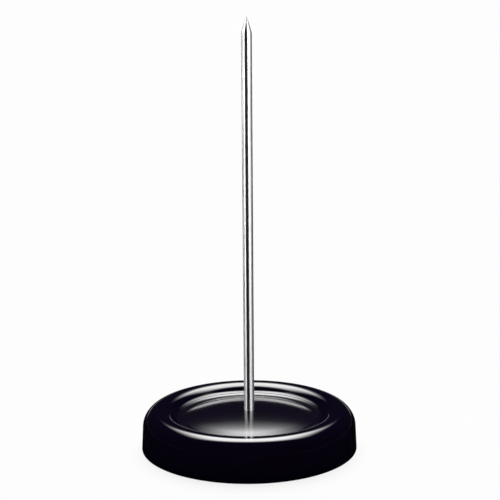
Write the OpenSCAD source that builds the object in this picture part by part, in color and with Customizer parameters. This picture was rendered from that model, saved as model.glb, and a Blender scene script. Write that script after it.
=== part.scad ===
// Memo spike: a steel spike with a ground point, standing in a heavy round base with a rounded rim.
// The slips are pushed down over the point and stack up on the spike.
// The origin is the centre of the underside, on the surface that the base stands on, and +Z is up.
// The spike's lower end is a stud that runs down through the shell and the ballast disc. Its nut
// clamps the three together, and the pad closes the base underneath.

/* [Base shell] */
// Radius of the shell where it is widest, just above its bottom edge
base_r = 42.5; // [41.5:0.5:46]
// Height of the rim's crest above the shell's bottom edge
shell_h = 15.8; // [15:0.1:17]
// Height of the straight part of the side wall
wall_h = 9.2; // [7:0.1:10]
// Lean of the side wall, in degrees
wall_draft = 3; // [1:0.5:4]
// Wall thickness of the moulding
wall_t = 2.4; // [1.8:0.1:2.8]
// Rounding of the shell's outer bottom edge
edge_round = 0.2; // [0.2:0.1:1]
// How square the shoulder is between the wall and the crest, where 2 is an ellipse
shoulder_power = 2.1; // [1.9:0.1:2.8]

/* [Rim and floor] */
// Radius of the rim's crest line
crest_r = 35.2; // [34.6:0.1:36.2]
// Rounding from the crest into the inner slope
rim_round = 7; // [6:0.5:8]
// Steepest angle of the inner slope, in degrees
slope_angle = 42; // [39:1:45]
// Straight length of the inner slope
slope_len = 0.9; // [0.5:0.1:1.5]
// Angle at which the gutter leaves the inner slope, in degrees. The difference makes a soft crease.
gutter_angle = 33; // [29:1:37]
// Rounding of the gutter on the rim's side
gutter_outer_round = 7.5; // [6:0.5:9]
// Rounding of the gutter on the floor's side
gutter_inner_round = 0.5; // [0.3:0.1:2]
// Slope of the domed floor's edge, in degrees
dome_slope = 12; // [10:0.5:13]
// Radius of curvature of the domed floor
dome_round = 105; // [80:1:115]
// Distance from the crease in to the fine line where the polished rim ends and the satin floor starts
line_inset = 1.15; // [0.5:0.05:2]
// Width of that fine line
line_w = 0.3; // [0.2:0.05:0.4]

/* [Boss and ribs] */
// Radius of the boss that the stud runs through
boss_r = 5; // [4:0.5:8]
// Number of ribs between the boss and the side wall
rib_count = 6; // [3:1:8]
// Thickness of a rib
rib_t = 1.6; // [1.2:0.1:2.4]

/* [Spike] */
// Radius of the spike
spike_r = 2; // [1.8:0.1:2.5]
// Height of the point above the surface that the base stands on
point_h = 170; // [130:1:200]
// Length of the ground point
cone_len = 6.4; // [4:0.1:10]
// Radius left at the very tip
tip_r = 0.1; // [0.05:0.05:0.3]
// Chamfer round the spike's foot
foot_chamfer = 0.25; // [0.1:0.05:0.4]
// Depth of the round seat that the spike's foot stands in
seat_depth = 0.3; // [0.2:0.1:0.6]
// Clearance round the spike's foot in its seat
seat_gap = 0.15; // [0.1:0.05:0.4]

/* [Stud and nut] */
// Radius of the stud
stud_r = 1.5; // [1.25:0.25:1.5]
// Chamfer at the stud's end
stud_chamfer = 0.3; // [0.2:0.05:0.4]
// Length of the stud below the nut
stud_proud = 0.5; // [0.4:0.1:1]
// Clearance round the stud in the shell, the ballast disc and the washer
stud_gap = 0.15; // [0.1:0.05:0.3]
// Clearance round the stud in the nut
thread_gap = 0.04; // [0.02:0.01:0.08]
// Width of the nut across its flats
nut_w = 5.5; // [5:0.5:7]
// Height of the nut
nut_h = 2.4; // [2:0.1:3.2]
// Chamfer on the nut's corners
nut_chamfer = 0.25; // [0.1:0.05:0.4]
// Radius of the washer
washer_r = 3.5; // [3.5:0.25:4.5]
// Thickness of the washer
washer_t = 0.5; // [0.4:0.1:1]

/* [Ballast disc] */
// Thickness of the ballast disc
ballast_t = 6; // [5.5:0.1:7]
// Clearance between the ballast disc and the side wall
ballast_gap = 0.6; // [0.3:0.1:1.5]
// Chamfer on the ballast disc's edges
ballast_chamfer = 0.6; // [0.3:0.1:1]
// Clearance round the washer in the pocket under the ballast disc
pocket_gap = 2; // [1:0.25:4]
// Clearance between the stud's end and the pad
stud_end_gap = 0.4; // [0.2:0.1:0.6]

/* [Pad] */
// Thickness of the pad
pad_t = 1.6; // [1.2:0.1:2.4]
// How far the pad stands below the shell's bottom edge
pad_proud = 0.4; // [0.2:0.1:0.8]
// Clearance between the pad and the side wall
pad_gap = 0.8; // [0.5:0.1:2]

/* [Hidden] */
$fn = 96;
overcut = 1;

// How many straight steps draw each curve, on the outside and in the hollow
outside_steps = 14;
hollow_steps = 5;

// Heights, from the surface that the base stands on
shell_z = pad_proud;
crest_z = shell_z + shell_h;
wall_top_z = shell_z + wall_h;
ballast_z = pad_t;
ballast_top_z = ballast_z + ballast_t;

// The crease below the inner slope follows from the arc and the slope that lead down from the crest
crease_r = crest_r - rim_round * sin(slope_angle) - slope_len * cos(slope_angle);
crease_z = crest_z - rim_round * (1 - cos(slope_angle)) - slope_len * sin(slope_angle);

// The gutter's lowest circle
gutter_r = crease_r - gutter_outer_round * sin(gutter_angle);
gutter_z = crease_z - gutter_outer_round * (1 - cos(gutter_angle));

// The floor rises from the gutter's inner arc in a straight slope that is tangent to the dome
floor_edge_r = gutter_r - gutter_inner_round * sin(dome_slope);
floor_edge_z = gutter_z + gutter_inner_round * (1 - cos(dome_slope));
dome_edge_r = dome_round * sin(dome_slope);
dome_edge_z = floor_edge_z + (floor_edge_r - dome_edge_r) * tan(dome_slope);
dome_top_z = dome_edge_z + dome_round * (1 - cos(dome_slope));

// The fine line is a shallow groove on the gutter's outer arc: its angle there and half its width
line_angle = asin((crease_r - line_inset - gutter_r) / gutter_outer_round);
line_half_angle = asin(line_w / 2 / gutter_outer_round);

// The spike stands on the seat, and its stud reaches down into the pocket
seat_z = dome_top_z - seat_depth;
stud_end_z = ballast_z + stud_end_gap;
nut_z = stud_end_z + stud_proud;
washer_z = nut_z + nut_h;
pocket_top_z = washer_z + washer_t;
pocket_r = washer_r + pocket_gap;
stud_hole_r = stud_r + stud_gap;

// Each rib starts halfway through the boss's wall, clear of the stud's hole
rib_root_r = (stud_hole_r + boss_r) / 2;

// Outer radius of the drafted wall at height z
function wall_r(z) = base_r - (z - shell_z - edge_round) * tan(wall_draft);

// Points on an arc about [cr, cz], measured from straight up towards the outside. The point at a0
// is left out, because the line before it ends there.
function arc(cr, cz, radius, a0, a1, steps) = [
    for (i = [1 : steps])
        let (a = a0 + (a1 - a0) * i / steps)
        [cr + radius * sin(a), cz + radius * cos(a)]
];

// The shoulder from the wall's top up to the crest, set in by t
function shoulder(t, steps) = [
    for (i = [0 : steps])
        let (
            u = 90 * i / steps,
            z = wall_top_z + (crest_z - t - wall_top_z) * pow(sin(u), 2 / shoulder_power)
        )
        [crest_r + (wall_r(z) - t - crest_r) * pow(cos(u), 2 / shoulder_power), z]
];

// A point on the gutter's outer arc at angle a from its lowest point, set down by t
function on_gutter(t, a) = [
    gutter_r + (gutter_outer_round + t) * sin(a),
    gutter_z + gutter_outer_round - (gutter_outer_round + t) * cos(a)
];

// The arcs from the crest down the inner slope, through the gutter and over the dome, set down by t
function rim_arc(t, steps) = arc(crest_r, crest_z - rim_round, rim_round - t, 0, -slope_angle, steps);
function gutter_outer_arc(t, a0, a1, steps) =
    arc(gutter_r, gutter_z + gutter_outer_round, gutter_outer_round + t, 180 - a0, 180 - a1, steps);
function gutter_inner_arc(t, steps) =
    arc(gutter_r, gutter_z + gutter_inner_round, gutter_inner_round + t, 180, 180 + dome_slope, steps);
function dome_arc(t, steps) = concat(
    [[(dome_round - t) * sin(dome_slope), dome_edge_z - t * cos(dome_slope)]],
    arc(0, dome_top_z - dome_round, dome_round - t, dome_slope, 0, steps)
);

// Half section of the shell's outside, from its bottom edge to the axis, with the fine line's groove
function outside() = concat(
    [[0, shell_z], [base_r - edge_round, shell_z]],
    arc(base_r - edge_round, shell_z + edge_round, edge_round, 180, 90, 4),
    shoulder(0, outside_steps),
    rim_arc(0, outside_steps),
    [on_gutter(0, gutter_angle)],
    gutter_outer_arc(0, gutter_angle, line_angle + line_half_angle, outside_steps / 2),
    [on_gutter(line_w / 2, line_angle), on_gutter(0, line_angle - line_half_angle)],
    gutter_outer_arc(0, line_angle - line_half_angle, 0, outside_steps),
    gutter_inner_arc(0, 3),
    dome_arc(0, outside_steps)
);

// Half section of the hollow under the shell
function hollow() = concat(
    [[0, shell_z - overcut], [base_r - wall_t, shell_z - overcut]],
    [[base_r - wall_t, shell_z + edge_round]],
    shoulder(wall_t, hollow_steps),
    rim_arc(wall_t, hollow_steps),
    [on_gutter(wall_t, gutter_angle)],
    gutter_outer_arc(wall_t, gutter_angle, 0, hollow_steps),
    gutter_inner_arc(wall_t, 3),
    dome_arc(wall_t, hollow_steps)
);

module round_hole(radius, z0, z1) {
    translate([0, 0, z0])
        cylinder(r = radius, h = z1 - z0);
}

// The boss and the ribs stand on the ballast disc and reach up into the shell's roof
module boss_and_ribs() {
    round_hole(boss_r, ballast_top_z, crest_z);
    for (i = [0 : rib_count - 1])
        rotate([0, 0, 360 * i / rib_count])
            translate([rib_root_r, -rib_t / 2, ballast_top_z])
                cube([base_r - rib_root_r, rib_t, crest_z - ballast_top_z]);
}

module base_shell() {
    color("#0b0a0e")
        difference() {
            rotate_extrude()
                polygon(outside());
            difference() {
                rotate_extrude()
                    polygon(hollow());
                boss_and_ribs();
            }
            round_hole(stud_hole_r, ballast_top_z - overcut, crest_z);
            round_hole(spike_r + seat_gap, seat_z, crest_z);
        }
}

// The spike and its stud are turned from one rod
module spike() {
    color("silver")
        rotate_extrude()
            polygon([
                [0, stud_end_z],
                [stud_r - stud_chamfer, stud_end_z],
                [stud_r, stud_end_z + stud_chamfer],
                [stud_r, seat_z],
                [spike_r - foot_chamfer, seat_z],
                [spike_r, seat_z + foot_chamfer],
                [spike_r, point_h - cone_len],
                [tip_r, point_h],
                [0, point_h]
            ]);
}

module ballast_disc() {
    disc_r = wall_r(ballast_top_z) - wall_t - ballast_gap;
    color("dimgray")
        difference() {
            rotate_extrude()
                polygon([
                    [0, ballast_z],
                    [disc_r - ballast_chamfer, ballast_z],
                    [disc_r, ballast_z + ballast_chamfer],
                    [disc_r, ballast_top_z - ballast_chamfer],
                    [disc_r - ballast_chamfer, ballast_top_z],
                    [0, ballast_top_z]
                ]);
            round_hole(stud_hole_r, ballast_z, ballast_top_z + overcut);
            round_hole(pocket_r, ballast_z - overcut, pocket_top_z);
        }
}

module flat_washer() {
    color("gainsboro")
        difference() {
            round_hole(washer_r, washer_z, washer_z + washer_t);
            round_hole(stud_hole_r, washer_z - overcut, washer_z + washer_t + overcut);
        }
}

// The corners of the hexagon are cut back by a cone at both faces
module hex_nut() {
    corner_r = nut_w / 2 / cos(30);
    color("gainsboro")
        difference() {
            intersection() {
                translate([0, 0, nut_z])
                    cylinder(r = corner_r, h = nut_h, $fn = 6);
                rotate_extrude()
                    polygon([
                        [0, nut_z],
                        [nut_w / 2, nut_z],
                        [corner_r + nut_chamfer, nut_z + nut_chamfer * 2],
                        [corner_r + nut_chamfer, nut_z + nut_h - nut_chamfer * 2],
                        [nut_w / 2, nut_z + nut_h],
                        [0, nut_z + nut_h]
                    ]);
            }
            round_hole(stud_r + thread_gap, nut_z - overcut, nut_z + nut_h + overcut);
        }
}

module base_pad() {
    color("#1c1c1e")
        round_hole(base_r - wall_t - pad_gap, 0, pad_t);
}

base_shell();
spike();
ballast_disc();
flat_washer();
hex_nut();
base_pad();
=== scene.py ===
import math

import bpy
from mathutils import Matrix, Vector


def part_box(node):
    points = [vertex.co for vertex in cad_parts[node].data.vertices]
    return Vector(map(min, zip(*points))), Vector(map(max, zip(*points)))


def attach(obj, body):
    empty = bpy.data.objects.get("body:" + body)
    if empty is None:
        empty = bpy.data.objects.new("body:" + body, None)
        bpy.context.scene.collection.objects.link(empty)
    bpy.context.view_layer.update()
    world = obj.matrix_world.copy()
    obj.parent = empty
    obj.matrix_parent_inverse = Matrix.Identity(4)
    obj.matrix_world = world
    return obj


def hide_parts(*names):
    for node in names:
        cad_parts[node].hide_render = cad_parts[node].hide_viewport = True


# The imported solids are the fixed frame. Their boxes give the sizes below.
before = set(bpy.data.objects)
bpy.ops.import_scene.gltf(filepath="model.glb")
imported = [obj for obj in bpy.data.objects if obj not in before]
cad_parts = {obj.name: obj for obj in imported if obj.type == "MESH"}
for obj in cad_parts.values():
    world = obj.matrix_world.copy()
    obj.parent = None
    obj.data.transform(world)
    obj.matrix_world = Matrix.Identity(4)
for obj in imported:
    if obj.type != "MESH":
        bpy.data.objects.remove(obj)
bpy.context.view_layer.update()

MM = 0.001

# The camera: its place, focal length and sensor in millimetres, its turn in degrees, its reach in metres
CAMERA_PLACE = (0.76, -611.7, 218.4)
CAMERA_TURN = (77.255, 0.383, -0.087)
CAMERA_LENS = 116.87
CAMERA_SENSOR = 36.0
CAMERA_REACH = 200

# Sizes that the solids give, in millimetres
base_low, base_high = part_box("base_shell")
spike_low, spike_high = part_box("spike")
BASE_R = base_high.x / MM
SHELL_Z = base_low.z / MM
CREST_Z = base_high.z / MM
SPIKE_R = spike_high.x / MM
POINT_Z = spike_high.z / MM
STUD_END_Z = spike_low.z / MM
BALLAST_TOP_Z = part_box("ballast_disc")[1].z / MM
PAD_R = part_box("base_pad")[1].x / MM
PAD_TOP_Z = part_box("base_pad")[1].z / MM

# Section of the shell, in millimetres and degrees
WALL_H = 9.2
WALL_DRAFT = 3.0
WALL_T = 2.4
EDGE_ROUND = 0.2
SHOULDER_POWER = 2.1
CREST_R = 35.2
RIM_ROUND = 7.0
SLOPE_ANGLE = 42.0
SLOPE_LEN = 0.9
GUTTER_ANGLE = 33.0
GUTTER_OUTER_ROUND = 7.5
GUTTER_INNER_ROUND = 0.5
DOME_SLOPE = 12.0
DOME_ROUND = 105.0
LINE_INSET = 1.15
LINE_W = 0.3
BOSS_R = 5.0
RIB_COUNT = 6
RIB_T = 1.6
SEAT_DEPTH = 0.3
SEAT_GAP = 0.15
SEAT_EDGE = 0.08
STUD_GAP = 0.15

# Section of the spike, in millimetres
CONE_LEN = 6.4
TIP_R = 0.1
CONE_EDGE = 0.12
FOOT_CHAMFER = 0.25
STUD_R = 1.5
STUD_CHAMFER = 0.3
# The blunted tip: how far out and how far down its points lie, as shares of its radius
TIP_SHAPE = [(0.0, 0.0), (0.7, 0.2), (1.0, 0.6)]

# The pad's soft edge, in millimetres
PAD_EDGE = 0.5

# The floor: its side in metres, the share of white in it, and how far the foam sinks in, in millimetres
FLOOR_SIZE = 60
FLOOR_WHITE = 0.85
FOAM_SINK = 0.05

# The black cloth on it: its side in metres, and its height in millimetres
FLAG_SIZE = 8
FLAG_Z = 0.1

# The studio: its dim level, and where the white backdrop fades out, as heights and depths of a unit direction
STUDIO_LEVEL = 0.01
BACKDROP_TOP = (0.02, 0.05)
BACKDROP_SIDE = (0.9, 0.95)

# The sun: its tilt and its spread in degrees, and its level
SUN_TILT = -25
SUN_SPREAD = 50
SUN_LEVEL = 3.4

# The big softbox overhead, in metres. Its stops are distances behind the object, with shares of its level.
CARD_WIDTH = 0.92
CARD_DEPTH = 1.1
CARD_Z = 0.5
CARD_LEVEL = 15.0
CARD_STOPS = [(0.06, 0.0), (0.17, 1.0), (0.36, 0.9), (0.47, 0.7), (0.55, 0.2), (0.62, 0.07), (0.74, 0.0)]
# Where it fades out to the sides, and how strongly its far edge curves back there
CARD_SIDE = (0.08, 0.34)
CARD_CURVE = 3.0

# The tall softboxes round the spike, in metres
STRIP_DISTANCE = 3.0
STRIP_HEIGHT = 3.0

# How finely the pieces are divided round the axis, and from which angle an edge is sharp
ROUND_STEPS = 192
SHARP_ANGLE = 30.0
# Steps of each arc in the shell's section: on the outside, under the roof and in a rib
OUTSIDE, UNDER, RIB = range(3)
SHOULDER_STEPS = (40, 14, 10)
RIM_STEPS = (30, 10, 8)
GUTTER_OUTER_STEPS = (22, 10, 8)
GUTTER_INNER_STEPS = (6, 6, 3)
DOME_STEPS = (28, 10, 8)
SLOPE_STEPS = 12
EDGE_STEPS = 6

# The crease, the gutter's lowest circle, the domed floor and the seat follow from the rim's arcs
WALL_TOP_Z = SHELL_Z + WALL_H
SLOPE = math.radians(SLOPE_ANGLE)
GUTTER = math.radians(GUTTER_ANGLE)
FLOOR = math.radians(DOME_SLOPE)
CREASE_R = CREST_R - RIM_ROUND * math.sin(SLOPE) - SLOPE_LEN * math.cos(SLOPE)
CREASE_Z = CREST_Z - RIM_ROUND * (1 - math.cos(SLOPE)) - SLOPE_LEN * math.sin(SLOPE)
GUTTER_R = CREASE_R - GUTTER_OUTER_ROUND * math.sin(GUTTER)
GUTTER_Z = CREASE_Z - GUTTER_OUTER_ROUND * (1 - math.cos(GUTTER))
FLOOR_EDGE_R = GUTTER_R - GUTTER_INNER_ROUND * math.sin(FLOOR)
FLOOR_EDGE_Z = GUTTER_Z + GUTTER_INNER_ROUND * (1 - math.cos(FLOOR))
DOME_EDGE_R = DOME_ROUND * math.sin(FLOOR)
DOME_EDGE_Z = FLOOR_EDGE_Z + (FLOOR_EDGE_R - DOME_EDGE_R) * math.tan(FLOOR)
DOME_TOP_Z = DOME_EDGE_Z + DOME_ROUND * (1 - math.cos(FLOOR))
SEAT_Z = DOME_TOP_Z - SEAT_DEPTH
LINE_R = CREASE_R - LINE_INSET
LINE_ANGLE = math.degrees(math.asin((LINE_R - GUTTER_R) / GUTTER_OUTER_ROUND))
LINE_HALF_ANGLE = math.degrees(math.asin(LINE_W / 2 / GUTTER_OUTER_ROUND))
STUD_HOLE_R = STUD_R + STUD_GAP
RIB_ROOT_R = (STUD_HOLE_R + BOSS_R) / 2


def wall_r(z):
    """Outer radius of the leaning side wall at height z."""
    return BASE_R - (z - SHELL_Z - EDGE_ROUND) * math.tan(math.radians(WALL_DRAFT))


def arc(centre_r, centre_z, radius, first, last, steps):
    """Points on an arc, with its angles measured from straight up towards the outside."""
    angles = [math.radians(first + (last - first) * i / steps) for i in range(steps + 1)]
    return [(centre_r + radius * math.sin(a), centre_z + radius * math.cos(a)) for a in angles]


def shoulder(inset, steps):
    """The squarish shoulder from the wall's top up to the crest, set in by the inset."""
    points = []
    for i in range(steps + 1):
        angle = math.pi / 2 * i / steps
        rise = math.sin(angle) ** (2 / SHOULDER_POWER)
        reach = max(math.cos(angle), 0) ** (2 / SHOULDER_POWER)
        z = WALL_TOP_Z + (CREST_Z - inset - WALL_TOP_Z) * rise
        points.append((CREST_R + (wall_r(z) - inset - CREST_R) * reach, z))
    return points


def rim_arc(inset, steps):
    """The rim from its crest down to the inner slope."""
    return arc(CREST_R, CREST_Z - RIM_ROUND, RIM_ROUND - inset, 0, -SLOPE_ANGLE, steps)


def gutter_outer_arc(inset, first, last, steps):
    """A stretch of the gutter's outer arc, between two slopes in degrees."""
    centre_z = GUTTER_Z + GUTTER_OUTER_ROUND
    return arc(GUTTER_R, centre_z, GUTTER_OUTER_ROUND + inset, 180 - first, 180 - last, steps)


def gutter_inner_arc(inset, steps):
    """The gutter's tight inner arc, up to the domed floor's slope."""
    centre_z = GUTTER_Z + GUTTER_INNER_ROUND
    return arc(GUTTER_R, centre_z, GUTTER_INNER_ROUND + inset, 180, 180 + DOME_SLOPE, steps)


def dome_arc(inset, end_r, steps):
    """The domed floor from the end of its straight slope in to the radius end_r."""
    radius = DOME_ROUND - inset
    end = math.degrees(math.asin(end_r / radius))
    return arc(0, DOME_TOP_Z - DOME_ROUND, radius, DOME_SLOPE, end, steps)


def shell_section():
    """The shell's section as (radius, height), from the bottom edge over the top and back inside."""
    seat_r = SPIKE_R + SEAT_GAP
    dome = dome_arc(0, seat_r + SEAT_EDGE, DOME_STEPS[OUTSIDE])
    line_bottom = gutter_outer_arc(LINE_W / 2, LINE_ANGLE, LINE_ANGLE, 1)[:1]
    roof = dome_arc(WALL_T, BOSS_R, DOME_STEPS[UNDER])
    outline = [(BASE_R - WALL_T, SHELL_Z)]
    outline += arc(BASE_R - EDGE_ROUND, SHELL_Z + EDGE_ROUND, EDGE_ROUND, 180, 90, EDGE_STEPS)
    outline += shoulder(0, SHOULDER_STEPS[OUTSIDE])
    outline += rim_arc(0, RIM_STEPS[OUTSIDE])
    outline += gutter_outer_arc(0, GUTTER_ANGLE, LINE_ANGLE + LINE_HALF_ANGLE, SLOPE_STEPS)
    outline += line_bottom
    outline += gutter_outer_arc(0, LINE_ANGLE - LINE_HALF_ANGLE, 0, GUTTER_OUTER_STEPS[OUTSIDE])
    outline += gutter_inner_arc(0, GUTTER_INNER_STEPS[OUTSIDE])
    outline += dome
    outline += [(seat_r, dome[-1][1] - SEAT_EDGE), (seat_r, SEAT_Z), (STUD_HOLE_R, SEAT_Z)]
    outline += [(STUD_HOLE_R, BALLAST_TOP_Z), (BOSS_R, BALLAST_TOP_Z)]
    outline += list(reversed(roof))
    outline += list(reversed(gutter_inner_arc(WALL_T, GUTTER_INNER_STEPS[UNDER])))
    outline += list(reversed(gutter_outer_arc(WALL_T, GUTTER_ANGLE, 0, GUTTER_OUTER_STEPS[UNDER])))
    outline += list(reversed(rim_arc(WALL_T, RIM_STEPS[UNDER])))
    outline += list(reversed(shoulder(WALL_T, SHOULDER_STEPS[UNDER])))
    outline += [(BASE_R - WALL_T, SHELL_Z + EDGE_ROUND), (BASE_R - WALL_T, SHELL_Z)]
    return outline


def spike_section():
    """The spike's section as (radius, height), from its tip down to the stud's end."""
    cone_z = POINT_Z - CONE_LEN
    slope = (SPIKE_R - TIP_R) / CONE_LEN
    outline = [(TIP_R * out, POINT_Z - TIP_R * down) for out, down in TIP_SHAPE]
    outline += [(SPIKE_R - CONE_EDGE * slope, cone_z + CONE_EDGE), (SPIKE_R, cone_z - CONE_EDGE)]
    outline += [(SPIKE_R, SEAT_Z + FOOT_CHAMFER), (SPIKE_R - FOOT_CHAMFER, SEAT_Z), (STUD_R, SEAT_Z)]
    outline += [(STUD_R, STUD_END_Z + STUD_CHAMFER), (STUD_R - STUD_CHAMFER, STUD_END_Z)]
    outline += [(0, STUD_END_Z)]
    return outline


def without_doubles(outline):
    """The outline without points that repeat the one before."""
    kept = outline[:1]
    for point in outline[1:]:
        if math.dist(point, kept[-1]) > 1e-6:
            kept.append(point)
    return kept


def drawn_line(name, outline, y):
    """A new piece in edit mode: one point, extruded along the outline in the plane of the given y."""
    bpy.ops.object.select_all(action="DESELECT")
    first_r, first_z = outline[0]
    bpy.ops.mesh.primitive_plane_add(size=MM, location=(first_r * MM, y * MM, first_z * MM))
    piece = bpy.context.object
    piece.name = name
    bpy.ops.object.mode_set(mode="EDIT")
    bpy.ops.mesh.select_all(action="SELECT")
    bpy.ops.mesh.merge(type="CENTER")
    for (r0, z0), (r1, z1) in zip(outline, outline[1:]):
        step = ((r1 - r0) * MM, 0, (z1 - z0) * MM)
        bpy.ops.mesh.extrude_vertices_move(TRANSFORM_OT_translate={"value": step})
    bpy.ops.mesh.select_all(action="SELECT")
    return piece


def turned_piece(name, outline):
    """A section, drawn as a line and spun round the Z axis."""
    piece = drawn_line(name, without_doubles(outline), 0)
    bpy.ops.mesh.spin(steps=ROUND_STEPS, angle=2 * math.pi, center=(0, 0, 0), axis=(0, 0, 1))
    bpy.ops.object.mode_set(mode="OBJECT")
    return cleaned(piece)


def cleaned(piece):
    """Merges doubles, turns the faces outwards, and puts the piece at the origin, unturned and unscaled."""
    bpy.ops.object.select_all(action="DESELECT")
    piece.select_set(True)
    bpy.context.view_layer.objects.active = piece
    bpy.ops.object.mode_set(mode="EDIT")
    bpy.ops.mesh.select_all(action="SELECT")
    bpy.ops.mesh.remove_doubles(threshold=1e-3 * MM)
    bpy.ops.mesh.normals_make_consistent(inside=False)
    bpy.ops.object.mode_set(mode="OBJECT")
    bpy.ops.object.transform_apply(location=True, rotation=True, scale=True)
    bpy.ops.object.shade_smooth_by_angle(angle=math.radians(SHARP_ANGLE))
    return piece


def rib_outline():
    """Side view of one rib, from inside the boss's wall to the middle of the shell's wall and roof."""
    middle = WALL_T / 2
    outline = [(RIB_ROOT_R, BALLAST_TOP_Z), (wall_r(BALLAST_TOP_Z) - middle, BALLAST_TOP_Z)]
    outline += shoulder(middle, SHOULDER_STEPS[RIB])
    outline += rim_arc(middle, RIM_STEPS[RIB])
    outline += gutter_outer_arc(middle, GUTTER_ANGLE, 0, GUTTER_OUTER_STEPS[RIB])
    outline += gutter_inner_arc(middle, GUTTER_INNER_STEPS[RIB])
    outline += dome_arc(middle, RIB_ROOT_R, DOME_STEPS[RIB])
    return without_doubles(outline)


def add_ribs(shell):
    """Joins the ribs under the roof to the shell, so that both are one moulding."""
    rib = drawn_line("rib", rib_outline(), -RIB_T / 2)
    bpy.ops.mesh.edge_face_add()
    bpy.ops.mesh.extrude_region_move(TRANSFORM_OT_translate={"value": (0, RIB_T * MM, 0)})
    bpy.ops.object.mode_set(mode="OBJECT")
    cleaned(rib)
    ribs = [rib]
    for i in range(1, RIB_COUNT):
        turned = rib.copy()
        turned.data = rib.data.copy()
        bpy.context.collection.objects.link(turned)
        turned.rotation_euler.z = 2 * math.pi * i / RIB_COUNT
        ribs.append(turned)
    for joined in ribs:
        bpy.ops.object.select_all(action="DESELECT")
        shell.select_set(True)
        bpy.context.view_layer.objects.active = shell
        bpy.context.view_layer.update()
        union = shell.modifiers.new("rib", "BOOLEAN")
        union.operation = "UNION"
        union.solver = "EXACT"
        union.object = joined
        bpy.ops.object.modifier_apply(modifier=union.name)
        bpy.data.objects.remove(joined)
    return cleaned(shell)


def pad_section():
    """The pad's section, with the soft edge that a die leaves round its underside."""
    outline = [(0, 0), (PAD_R - PAD_EDGE, 0)]
    outline += arc(PAD_R - PAD_EDGE, PAD_EDGE, PAD_EDGE, 180, 90, EDGE_STEPS)
    outline += [(PAD_R, PAD_TOP_Z), (0, PAD_TOP_Z)]
    return outline


def srgb(code):
    """An sRGB hex colour as linear RGBA."""
    parts = [int(code[i : i + 2], 16) / 255 for i in (1, 3, 5)]
    linear = [c / 12.92 if c <= 0.04045 else ((c + 0.055) / 1.055) ** 2.4 for c in parts]
    return (*linear, 1.0)


def add(tree, kind, inputs=None, **settings):
    """Adds a node. Each input is a value, or an output of another node to link."""
    made = tree.nodes.new(kind)
    for key, value in settings.items():
        setattr(made, key, value)
    for key, value in (inputs or {}).items():
        if isinstance(value, bpy.types.NodeSocket):
            tree.links.new(value, made.inputs[key])
        else:
            made.inputs[key].default_value = value
    return made


def new_material(name):
    """A material with an empty node tree."""
    made = bpy.data.materials.new(name)
    made.use_nodes = True
    made.node_tree.nodes.clear()
    return made, made.node_tree


def from_axis(tree, place):
    """The distance of a place from the Z axis."""
    axes = add(tree, "ShaderNodeSeparateXYZ", {0: place}).outputs
    across = add(tree, "ShaderNodeCombineXYZ", {0: axes["X"], 1: axes["Y"]}).outputs[0]
    return add(tree, "ShaderNodeVectorMath", {0: across}, operation="LENGTH").outputs["Value"]


def inside_line(tree, place):
    """1 on the satin floor within the fine line, and 0 on the polished rest."""
    # Half the width over which the finish changes, in millimetres
    blur = 0.1
    limits = {"From Min": (LINE_R + blur) * MM, "From Max": (LINE_R - blur) * MM}
    return add(tree, "ShaderNodeMapRange", {"Value": from_axis(tree, place), **limits}).outputs[0]


def polished_black_moulding():
    """Black ABS, moulded in a polished tool, with a spark-eroded floor inside the fine line.

    The rim and the wall are a deep black with clear reflections, which the moulding's slow
    waviness bends a little. The floor blurs them to a grey sheen and shows a fine grain.
    """
    made, tree = new_material("polished_black_moulding")
    place = add(tree, "ShaderNodeTexCoord").outputs["Object"]
    inside = inside_line(tree, place)
    roughness = add(
        tree, "ShaderNodeMapRange", {"Value": inside, "To Min": 0.05, "To Max": 0.13}
    ).outputs[0]
    # Waviness of a polished moulding, about 9 mm from crest to crest
    waves = add(tree, "ShaderNodeTexNoise", {"Vector": place, "Scale": 1 / (9 * MM), "Detail": 0.0})
    wave_bump = add(
        tree,
        "ShaderNodeBump",
        {"Height": waves.outputs["Fac"], "Strength": 0.25, "Distance": 0.01 * MM},
    ).outputs[0]
    # Spark-eroded grain, really 0.05 mm, drawn at 0.25 mm so that it shows
    grain = add(tree, "ShaderNodeTexNoise", {"Vector": place, "Scale": 1 / (0.25 * MM), "Detail": 2.0})
    height = add(
        tree, "ShaderNodeMath", {0: grain.outputs["Fac"], 1: inside}, operation="MULTIPLY"
    ).outputs[0]
    bump = add(
        tree,
        "ShaderNodeBump",
        {"Height": height, "Strength": 0.3, "Distance": 0.004 * MM, "Normal": wave_bump},
    ).outputs[0]
    surface = add(
        tree,
        "ShaderNodeBsdfPrincipled",
        {"Base Color": srgb("#0b0418"), "Roughness": roughness, "IOR": 1.5, "Normal": bump},
    ).outputs[0]
    add(tree, "ShaderNodeOutputMaterial", {"Surface": surface})
    return made


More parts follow.
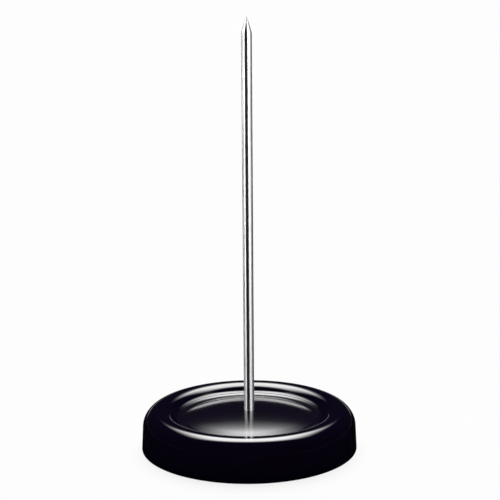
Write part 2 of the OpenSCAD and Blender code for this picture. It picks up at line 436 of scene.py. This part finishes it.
def ground_stainless_rod():
    """Stainless rod, centreless ground, with its point ground the same way.

    The fine rings round it draw the reflections out along the rod, so that it shows long stripes.
    """
    made, tree = new_material("ground_stainless_rod")
    place = add(tree, "ShaderNodeTexCoord").outputs["Object"]
    # Grinding rings, really 0.02 mm apart, drawn 0.3 mm apart so that they show
    squeeze = add(tree, "ShaderNodeMapping", {"Vector": place, "Scale": (0.15, 0.15, 1.0)}).outputs[0]
    rings = add(tree, "ShaderNodeTexNoise", {"Vector": squeeze, "Scale": 1 / (0.3 * MM), "Detail": 3.0})
    roughness = add(
        tree, "ShaderNodeMapRange", {"Value": rings.outputs["Fac"], "To Min": 0.28, "To Max": 0.36}
    ).outputs[0]
    bump = add(
        tree,
        "ShaderNodeBump",
        {"Height": rings.outputs["Fac"], "Strength": 0.15, "Distance": 0.004 * MM},
    ).outputs[0]
    tangent = add(tree, "ShaderNodeTangent", direction_type="RADIAL", axis="Z").outputs[0]
    surface = add(
        tree,
        "ShaderNodeBsdfPrincipled",
        {
            "Base Color": srgb("#d2d2d4"),
            "Metallic": 1.0,
            "Roughness": roughness,
            "Anisotropic": 0.95,
            "Anisotropic Rotation": 0.25,
            "Tangent": tangent,
            "Normal": bump,
        },
    ).outputs[0]
    add(tree, "ShaderNodeOutputMaterial", {"Surface": surface})
    return made


def non_slip_foam():
    """Closed-cell EVA foam sheet, die-cut. It is matt near-black, with the small pits of cut cells."""
    made, tree = new_material("non_slip_foam")
    place = add(tree, "ShaderNodeTexCoord").outputs["Object"]
    # Cells about 0.6 mm across
    cells = add(tree, "ShaderNodeTexVoronoi", {"Vector": place, "Scale": 1 / (0.6 * MM)}).outputs["Distance"]
    # Slow changes of tone, about 12 mm apart
    tone = add(
        tree, "ShaderNodeTexNoise", {"Vector": place, "Scale": 1 / (12 * MM), "Detail": 3.0}
    ).outputs["Fac"]
    colour = add(tree, "ShaderNodeMix", {"Factor": tone}, data_type="RGBA")
    colour.inputs["A"].default_value = srgb("#1a1a1c")
    colour.inputs["B"].default_value = srgb("#242426")
    bump = add(tree, "ShaderNodeBump", {"Height": cells, "Strength": 0.6, "Distance": 0.08 * MM}).outputs[0]
    surface = add(
        tree,
        "ShaderNodeBsdfPrincipled",
        {"Base Color": colour.outputs["Result"], "Roughness": 0.85, "IOR": 1.48, "Normal": bump},
    ).outputs[0]
    add(tree, "ShaderNodeOutputMaterial", {"Surface": surface})
    return made


def oiled_turned_steel():
    """Mild steel, turned and oiled. It is dark grey with fine rings and cloudy oil."""
    made, tree = new_material("oiled_turned_steel")
    place = add(tree, "ShaderNodeTexCoord").outputs["Object"]
    # Turning marks 0.3 mm apart
    turns = 2 * math.pi / (0.3 * MM)
    phase = add(
        tree, "ShaderNodeMath", {0: from_axis(tree, place), 1: turns}, operation="MULTIPLY"
    ).outputs[0]
    rings = add(tree, "ShaderNodeMath", {0: phase}, operation="SINE").outputs[0]
    # Clouds of oil, about 8 mm across
    clouds = add(
        tree, "ShaderNodeTexNoise", {"Vector": place, "Scale": 1 / (8 * MM), "Detail": 4.0}
    ).outputs["Fac"]
    colour = add(tree, "ShaderNodeMix", {"Factor": clouds}, data_type="RGBA")
    colour.inputs["A"].default_value = srgb("#7b7873")
    colour.inputs["B"].default_value = srgb("#9b9893")
    roughness = add(
        tree, "ShaderNodeMapRange", {"Value": clouds, "To Min": 0.28, "To Max": 0.45}
    ).outputs[0]
    bump = add(
        tree, "ShaderNodeBump", {"Height": rings, "Strength": 0.3, "Distance": 0.004 * MM}
    ).outputs[0]
    surface = add(
        tree,
        "ShaderNodeBsdfPrincipled",
        {"Base Color": colour.outputs["Result"], "Metallic": 1.0, "Roughness": roughness, "Normal": bump},
    ).outputs[0]
    add(tree, "ShaderNodeOutputMaterial", {"Surface": surface})
    return made


def bright_zinc_plate():
    """Steel with bright zinc plate. It is bluish silver, softly mottled where the zinc has grown."""
    made, tree = new_material("bright_zinc_plate")
    place = add(tree, "ShaderNodeTexCoord").outputs["Object"]
    # Mottling, about 1.2 mm across
    mottle = add(
        tree, "ShaderNodeTexNoise", {"Vector": place, "Scale": 1 / (1.2 * MM), "Detail": 4.0}
    ).outputs["Fac"]
    colour = add(tree, "ShaderNodeMix", {"Factor": mottle}, data_type="RGBA")
    colour.inputs["A"].default_value = srgb("#c3c8cc")
    colour.inputs["B"].default_value = srgb("#d6d9dc")
    roughness = add(tree, "ShaderNodeMapRange", {"Value": mottle, "To Min": 0.2, "To Max": 0.34}).outputs[0]
    surface = add(
        tree,
        "ShaderNodeBsdfPrincipled",
        {"Base Color": colour.outputs["Result"], "Metallic": 1.0, "Roughness": roughness},
    ).outputs[0]
    add(tree, "ShaderNodeOutputMaterial", {"Surface": surface})
    return made


def dress_solid(node, material):
    """Gives a solid that stays in view its material in every slot."""
    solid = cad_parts[node]
    if not solid.material_slots:
        solid.data.materials.append(material)
    for slot in solid.material_slots:
        slot.material = material


def dress(piece, material):
    """Gives a piece its only material, and hangs it on the root body."""
    piece.data.materials.clear()
    piece.data.materials.append(material)
    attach(piece, "root")


def add_camera():
    """The photograph's view, a little from above."""
    place = [value * MM for value in CAMERA_PLACE]
    turn = [math.radians(value) for value in CAMERA_TURN]
    bpy.ops.object.camera_add(location=place, rotation=turn)
    camera = bpy.context.object
    camera.data.lens = CAMERA_LENS
    camera.data.sensor_width = CAMERA_SENSOR
    camera.data.clip_end = CAMERA_REACH
    bpy.context.scene.camera = camera


def seen_white(tree):
    """1 for what the camera, metal, gloss and glass see, and 0 for the light that falls on things."""
    rays = add(tree, "ShaderNodeLightPath").outputs
    seen = add(
        tree, "ShaderNodeMath", {0: rays["Is Camera Ray"], 1: rays["Is Glossy Ray"]}, operation="MAXIMUM"
    ).outputs[0]
    return add(
        tree, "ShaderNodeMath", {0: seen, 1: rays["Is Transmission Ray"]}, operation="MAXIMUM"
    ).outputs[0]


def add_floor():
    """A plain pale floor. The camera, metal and gloss see it white, with the object's shadow on it."""
    bpy.ops.mesh.primitive_plane_add(size=FLOOR_SIZE, location=(0, 0, FOAM_SINK * MM))
    floor = bpy.context.object
    floor.name = "floor"
    made, tree = new_material("pale_floor")
    share = add(
        tree, "ShaderNodeMath", {0: seen_white(tree), 1: FLOOR_WHITE}, operation="MULTIPLY"
    ).outputs[0]
    plain = add(tree, "ShaderNodeBsdfDiffuse", {"Color": srgb("#f4f4f4")}).outputs[0]
    white = add(tree, "ShaderNodeEmission", {"Strength": 1.0}).outputs[0]
    mixed = add(tree, "ShaderNodeMixShader", {0: share, 1: plain, 2: white}).outputs[0]
    add(tree, "ShaderNodeOutputMaterial", {"Surface": mixed})
    floor.data.materials.append(made)


def add_flag():
    """A black cloth round the base, which only reflections see, so that they stay dark down to the floor."""
    bpy.ops.mesh.primitive_plane_add(size=FLAG_SIZE, location=(0, 0, FLAG_Z * MM))
    flag = bpy.context.object
    flag.name = "black_flag"
    made, tree = new_material("black_flag_cloth")
    cloth = add(tree, "ShaderNodeBsdfDiffuse", {"Color": srgb("#0a0a0a")}).outputs[0]
    add(tree, "ShaderNodeOutputMaterial", {"Surface": cloth})
    flag.data.materials.append(made)
    flag.visible_camera = False
    flag.visible_diffuse = False
    flag.visible_shadow = False
    flag.visible_transmission = False


def add_world():
    """A dim studio, which the camera sees white, with a strip of white backdrop behind for reflections."""
    world = bpy.data.worlds.new("studio")
    bpy.context.scene.world = world
    world.use_nodes = True
    tree = world.node_tree
    tree.nodes.clear()
    way = add(tree, "ShaderNodeTexCoord").outputs["Generated"]
    axes = add(tree, "ShaderNodeSeparateXYZ", {0: way}).outputs
    low = add(
        tree,
        "ShaderNodeMapRange",
        {"Value": axes["Z"], "From Min": BACKDROP_TOP[1], "From Max": BACKDROP_TOP[0]},
    ).outputs[0]
    behind = add(
        tree,
        "ShaderNodeMapRange",
        {"Value": axes["Y"], "From Min": BACKDROP_SIDE[0], "From Max": BACKDROP_SIDE[1]},
    ).outputs[0]
    backdrop = add(tree, "ShaderNodeMath", {0: low, 1: behind}, operation="MULTIPLY").outputs[0]
    rays = add(tree, "ShaderNodeLightPath").outputs
    shown = add(
        tree, "ShaderNodeMath", {0: backdrop, 1: rays["Is Camera Ray"]}, operation="MAXIMUM"
    ).outputs[0]
    white = add(tree, "ShaderNodeMath", {0: shown, 1: seen_white(tree)}, operation="MULTIPLY").outputs[0]
    level = add(tree, "ShaderNodeMath", {0: white, 1: STUDIO_LEVEL}, operation="MAXIMUM").outputs[0]
    sky = add(tree, "ShaderNodeBackground", {"Strength": level}).outputs[0]
    add(tree, "ShaderNodeOutputWorld", {"Surface": sky})


def lit_by(lamp, piece):
    """Lets the lamp light one piece only, with no shadow of another piece on it."""
    group = bpy.data.collections.new(lamp.name + "_lights")
    group.objects.link(piece)
    lamp.light_linking.receiver_collection = group
    lamp.light_linking.blocker_collection = group


def add_sun():
    """The plain light, from above and a little behind."""
    bpy.ops.object.light_add(type="SUN", rotation=(math.radians(SUN_TILT), 0, 0))
    sun = bpy.context.object
    sun.data.energy = SUN_LEVEL
    sun.data.angle = math.radians(SUN_SPREAD)
    sun.visible_glossy = False


def add_rim_card(shell):
    """A softbox above and behind, which draws the crescents on the rim and the sheen on the satin floor.

    It is brightest overhead, dims away from the viewer and fades out at all its edges. Its far
    edge curves back at the sides.
    """
    bpy.ops.object.light_add(type="AREA", location=(0, CARD_DEPTH / 2, CARD_Z))
    card = bpy.context.object
    card.name = "rim_card"
    card.data.shape = "RECTANGLE"
    card.data.size = CARD_WIDTH
    card.data.size_y = CARD_DEPTH
    card.data.energy = CARD_LEVEL * math.pi * CARD_WIDTH * CARD_DEPTH
    card.data.use_nodes = True
    tree = card.data.node_tree
    tree.nodes.clear()
    spot = add(tree, "ShaderNodeNewGeometry").outputs["Parametric"]
    axes = add(tree, "ShaderNodeSeparateXYZ", {0: spot}).outputs
    side = add(tree, "ShaderNodeMath", {0: axes["X"], 1: 0.5}, operation="SUBTRACT").outputs[0]
    side = add(tree, "ShaderNodeMath", {0: side}, operation="ABSOLUTE").outputs[0]
    square = add(tree, "ShaderNodeMath", {0: side, 1: side}, operation="MULTIPLY").outputs[0]
    bulge = add(
        tree, "ShaderNodeMapRange", {"Value": square, "To Min": 1.0, "To Max": 1.0 - CARD_CURVE}
    ).outputs[0]
    depth = add(tree, "ShaderNodeMath", {0: axes["Y"], 1: bulge}, operation="MULTIPLY").outputs[0]
    fade = {"From Min": CARD_SIDE[0] / CARD_WIDTH, "From Max": CARD_SIDE[1] / CARD_WIDTH}
    sides = add(
        tree,
        "ShaderNodeMapRange",
        {"Value": side, "To Min": 1.0, "To Max": 0.0, **fade},
        interpolation_type="SMOOTHSTEP",
    ).outputs[0]
    depth_ramp = add(tree, "ShaderNodeValToRGB", {"Fac": depth})
    stops = depth_ramp.color_ramp.elements
    for i, (place, share) in enumerate(CARD_STOPS):
        stop = stops[i] if i < len(stops) else stops.new(1.0)
        stop.position = place / CARD_DEPTH
        stop.color = (share, share, share, 1.0)
    level = add(
        tree, "ShaderNodeMath", {0: depth_ramp.outputs["Color"], 1: sides}, operation="MULTIPLY"
    ).outputs[0]
    glow = add(tree, "ShaderNodeEmission", {"Strength": level}).outputs[0]
    add(tree, "ShaderNodeOutputLight", {"Surface": glow})
    card.visible_diffuse = False
    lit_by(card, shell)


def add_strip(name, first, last, level, rod):
    """A tall softbox between two bearings from the front, in degrees, which draws one stripe on the spike."""
    middle = math.radians((first + last) / 2)
    width = 2 * STRIP_DISTANCE * math.tan(math.radians(last - first) / 2)
    place = (STRIP_DISTANCE * math.sin(middle), -STRIP_DISTANCE * math.cos(middle), STRIP_HEIGHT / 2)
    bpy.ops.object.light_add(type="AREA", location=place, rotation=(math.radians(90), 0, middle))
    strip = bpy.context.object
    strip.name = name
    strip.data.shape = "RECTANGLE"
    strip.data.size = width
    strip.data.size_y = STRIP_HEIGHT
    strip.data.energy = level * math.pi * width * STRIP_HEIGHT
    strip.visible_diffuse = False
    lit_by(strip, rod)


add_camera()
scene = bpy.context.scene
scene.view_settings.view_transform = "Standard"

shell = add_ribs(turned_piece("shell_moulding", shell_section()))
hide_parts("base_shell")
dress(shell, polished_black_moulding())

rod = turned_piece("spike_rod", spike_section())
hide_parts("spike")
dress(rod, ground_stainless_rod())

pad = turned_piece("foam_pad", pad_section())
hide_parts("base_pad")
dress(pad, non_slip_foam())

dress_solid("ballast_disc", oiled_turned_steel())
zinc = bright_zinc_plate()
dress_solid("flat_washer", zinc)
dress_solid("hex_nut", zinc)

add_world()
add_floor()
add_flag()
add_sun()
add_rim_card(shell)
add_strip("left_edge_strip", first=-120, last=-106, level=6.5, rod=rod)
add_strip("left_strip", first=-79, last=-54, level=7.2, rod=rod)
add_strip("right_strip", first=21, last=71, level=5.0, rod=rod)
add_strip("right_edge_strip", first=76, last=108, level=1.4, rod=rod)
